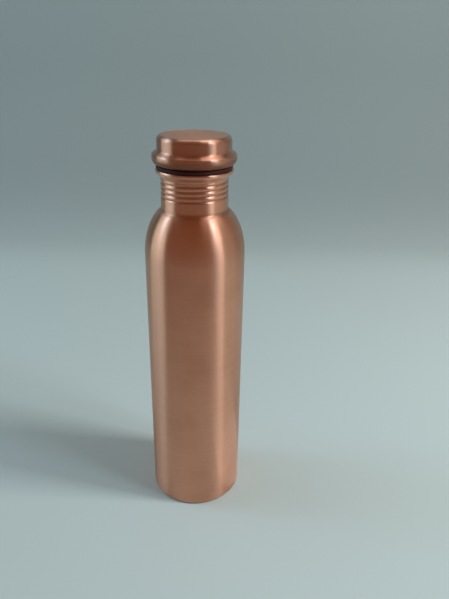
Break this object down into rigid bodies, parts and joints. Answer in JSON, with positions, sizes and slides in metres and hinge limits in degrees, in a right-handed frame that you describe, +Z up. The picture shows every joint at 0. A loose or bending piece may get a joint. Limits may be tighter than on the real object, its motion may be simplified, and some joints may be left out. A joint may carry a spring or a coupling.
{
  "type": "screw-cap water bottle",
  "caption": "Tall round copper water bottle with an elliptical shoulder, a rolled thread on its neck and a beaded screw cap that carries a sealing ring.",
  "frame": {"origin": "on the bottle's axis, in the plane of its foot", "axes": "+Z up the bottle's axis, from the foot to the cap; X and Y are level and alike, since the bottle is round"},
  "size_m": [0.072, 0.072, 0.2916],
  "materials": {
    "body_copper": "satin copper, brushed around the axis",
    "base_copper": "satin copper, turned rings",
    "cap_copper": "satin copper, brushed around the axis",
    "plug_copper": "bright copper, as rolled",
    "seal_rubber": "matt dark brown-black"
  },
  "bodies": {
    "bottle": {"body_shell": "body_copper", "base_disc": "base_copper"},
    "seal": {"sealing_ring": "seal_rubber"},
    "cap": {"cap_shell": "cap_copper", "cap_plug": "plug_copper", "plug_end_disc": "plug_copper"}
  },
  "joints": [
    {"name": "cap_rise", "type": "slide", "parent": "bottle", "child": "seal", "axis": [0, 0, 1], "range_m": [0, 0.034]},
    {"name": "cap_turn", "type": "hinge", "parent": "seal", "child": "cap", "pos_m": [0, 0, 0.255], "axis": [0, 0, 1], "range_deg": [0, 3600]}
  ],
  "couplings": [
    {"joint": "cap_rise", "follows": "cap_turn", "m_per_rad": 0.00054113}
  ]
}
